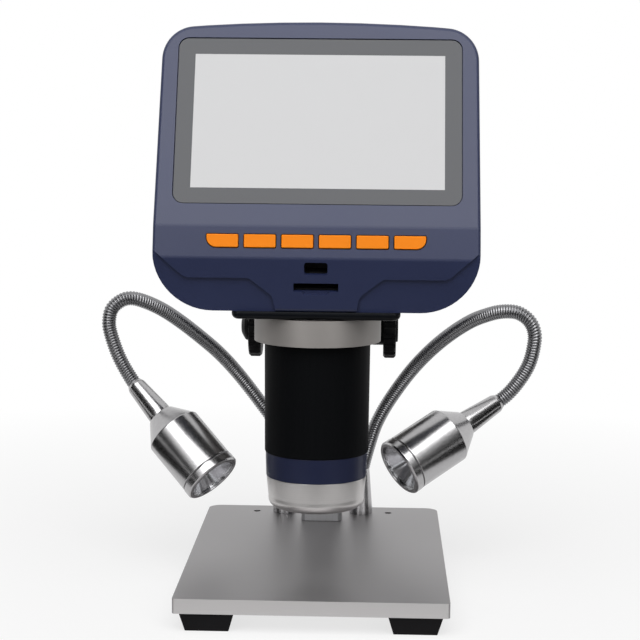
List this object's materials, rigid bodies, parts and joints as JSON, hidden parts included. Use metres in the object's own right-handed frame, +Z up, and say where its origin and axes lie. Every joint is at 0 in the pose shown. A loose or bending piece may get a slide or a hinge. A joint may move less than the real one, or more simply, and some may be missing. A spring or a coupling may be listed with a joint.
{
  "type": "lcd digital microscope",
  "caption": "Desk-top digital microscope: tilted screen head over a focusing barrel on a rack column and metal stage, with lamps on flexible necks.",
  "frame": {"origin": "where the optical axis meets the top face of the base plate", "axes": "+Z up along the optical axis, +X to the user's right, +Y away from the user towards the column"},
  "size_m": [0.183, 0.1517, 0.2248],
  "materials": {
    "stage_aluminium": "matte brushed",
    "rubber": "matte",
    "steel": "satin",
    "column_aluminium": "satin anodised",
    "black_plastic": "matte",
    "head_blue": "fine grain satin",
    "ring_silver": "satin",
    "grip_black": "matte",
    "band_blue": "semi gloss",
    "nose_silver": "satin",
    "glass_border": "glossy",
    "lens_glass": "clear",
    "lcd": "panel",
    "board_green": "solder mask",
    "button_orange": "satin",
    "lamp_chrome": "polished",
    "neck_metal": "ribbed satin",
    "reflector_metal": "polished"
  },
  "bodies": {
    "stand": {"base_plate": "stage_aluminium", "foot_front_left": "rubber", "foot_front_right": "rubber", "foot_rear_left": "rubber", "foot_rear_right": "rubber", "foot_screws": "steel", "column": "column_aluminium", "column_cap": "black_plastic", "column_screws": "steel", "rack": "steel", "neck_ferrule_left": "lamp_chrome", "neck_ferrule_right": "lamp_chrome", "ferrule_nuts": "steel"},
    "carriage": {"carriage": "black_plastic", "bracket_screws": "steel", "pinion_bush": "steel", "ring_holder": "ring_silver", "clamp_screw": "steel", "barrel_core": "column_aluminium", "head_flange": "black_plastic", "head_front_shell": "head_blue", "head_rear_shell": "head_blue", "display_glass": "glass_border", "lcd_panel": "lcd", "main_board": "board_green", "usb_socket": "steel", "card_socket": "steel", "head_screws": "steel", "sensor_board": "board_green"},
    "pinion": {"pinion_shaft": "steel", "focus_knob_left": "black_plastic", "focus_knob_right": "black_plastic", "shaft_cap_left": "black_plastic"},
    "focus_sleeve": {"focus_grip": "grip_black", "colour_band": "band_blue", "nose_ring": "nose_silver"},
    "lens": {"lens_carrier": "black_plastic", "objective_lens": "lens_glass"},
    "button_1": {"button_1": "button_orange"},
    "button_2": {"button_2": "button_orange"},
    "button_3": {"button_3": "button_orange"},
    "button_4": {"button_4": "button_orange"},
    "button_5": {"button_5": "button_orange"},
    "button_6": {"button_6": "button_orange"},
    "lamp_arm_left": {"neck_lower_left": "neck_metal"},
    "lamp_left": {"neck_upper_left": "neck_metal", "lamp_ferrule_left": "lamp_chrome", "lamp_housing_left": "lamp_chrome", "lamp_bezel_left": "lamp_chrome", "lamp_lens_left": "lens_glass", "lamp_reflector_left": "reflector_metal", "lamp_board_left": "board_green"},
    "lamp_arm_right": {"neck_lower_right": "neck_metal"},
    "lamp_right": {"neck_upper_right": "neck_metal", "lamp_ferrule_right": "lamp_chrome", "lamp_housing_right": "lamp_chrome", "lamp_bezel_right": "lamp_chrome", "lamp_lens_right": "lens_glass", "lamp_reflector_right": "reflector_metal", "lamp_board_right": "board_green"}
  },
  "joints": [
    {"name": "carriage_slide", "type": "slide", "parent": "stand", "child": "carriage", "axis": [0, 0, 1], "range_m": [-0.014, 0.036]},
    {"name": "pinion_spin", "type": "hinge", "parent": "carriage", "child": "pinion", "pos_m": [0, 0.06665, 0.0867], "axis": [1, 0, 0], "range_deg": [-344.5, 134.5]},
    {"name": "focus_spin", "type": "hinge", "parent": "carriage", "child": "focus_sleeve", "pos_m": [0, 0, 0.06], "axis": [0, 0, 1], "range_deg": [-150, 150]},
    {"name": "lens_slide", "type": "slide", "parent": "carriage", "child": "lens", "axis": [0, 0, 1], "range_m": [-0.00401, 0.00401]},
    {"name": "button_1_press", "type": "slide", "parent": "carriage", "child": "button_1", "axis": [0, 0.9859, -0.1671], "range_m": [0, 0.0008], "stiffness_N_per_m": 400, "springref_m": -0.0005},
    {"name": "button_2_press", "type": "slide", "parent": "carriage", "child": "button_2", "axis": [0, 0.9859, -0.1671], "range_m": [0, 0.0008], "stiffness_N_per_m": 400, "springref_m": -0.0005},
    {"name": "button_3_press", "type": "slide", "parent": "carriage", "child": "button_3", "axis": [0, 0.9859, -0.1671], "range_m": [0, 0.0008], "stiffness_N_per_m": 400, "springref_m": -0.0005},
    {"name": "button_4_press", "type": "slide", "parent": "carriage", "child": "button_4", "axis": [0, 0.9859, -0.1671], "range_m": [0, 0.0008], "stiffness_N_per_m": 400, "springref_m": -0.0005},
    {"name": "button_5_press", "type": "slide", "parent": "carriage", "child": "button_5", "axis": [0, 0.9859, -0.1671], "range_m": [0, 0.0008], "stiffness_N_per_m": 400, "springref_m": -0.0005},
    {"name": "button_6_press", "type": "slide", "parent": "carriage", "child": "button_6", "axis": [0, 0.9859, -0.1671], "range_m": [0, 0.0008], "stiffness_N_per_m": 400, "springref_m": -0.0005},
    {"name": "left_lamp_swing", "type": "hinge", "parent": "stand", "child": "lamp_arm_left", "pos_m": [-0.017, 0.0917, 0.0205], "axis": [0, 0, 1], "range_deg": [-40, 2]},
    {"name": "left_lamp_bend", "type": "hinge", "parent": "lamp_arm_left", "child": "lamp_left", "pos_m": [-0.07425, 0.05125, 0.09785], "axis": [0.6222, -0.7828, 0], "range_deg": [-30, 3]},
    {"name": "right_lamp_swing", "type": "hinge", "parent": "stand", "child": "lamp_arm_right", "pos_m": [0.017, 0.0917, 0.0205], "axis": [0, 0, 1], "range_deg": [-2, 40]},
    {"name": "right_lamp_bend", "type": "hinge", "parent": "lamp_arm_right", "child": "lamp_right", "pos_m": [0.07265, 0.04925, 0.0958], "axis": [0.6222, 0.7828, 0], "range_deg": [-30, 3]}
  ],
  "couplings": [
    {"joint": "pinion_spin", "follows": "carriage_slide", "rad_per_m": -166.67},
    {"joint": "lens_slide", "follows": "focus_spin", "m_per_rad": 0.0015279}
  ]
}
